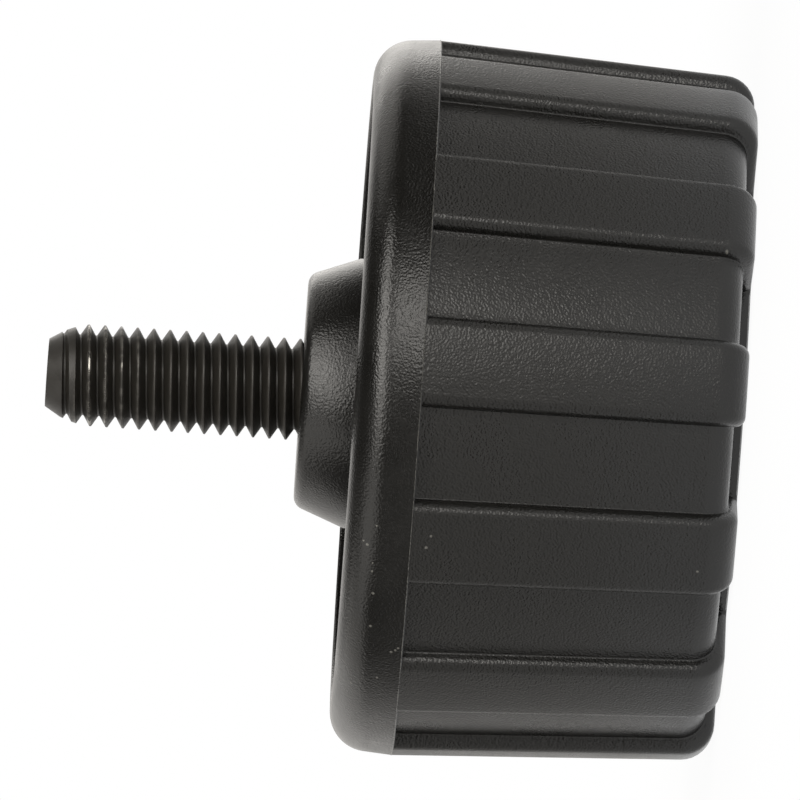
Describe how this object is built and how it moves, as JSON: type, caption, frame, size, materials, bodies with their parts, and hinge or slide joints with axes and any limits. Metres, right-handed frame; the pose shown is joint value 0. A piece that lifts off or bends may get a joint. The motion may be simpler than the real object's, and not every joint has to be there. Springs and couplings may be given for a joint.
{
  "type": "knurled knob with threaded stud",
  "caption": "Round black plastic hand knob with broad moulded ribs, a hollow underside and a conical hub, on a blackened steel threaded stud, for clamping by hand.",
  "frame": {"origin": "centre of the flat head face, on which the knob stands", "axes": "+Z along the axis, from the head face towards the stud's tip; +X through the middle of a rib"},
  "size_m": [0.055, 0.055, 0.0527],
  "materials": {
    "black_plastic": "fine spark-eroded grain",
    "black_steel": "oiled black oxide"
  },
  "bodies": {
    "root": {"knob_body": "black_plastic", "threaded_stud": "black_steel"}
  },
  "joints": []
}
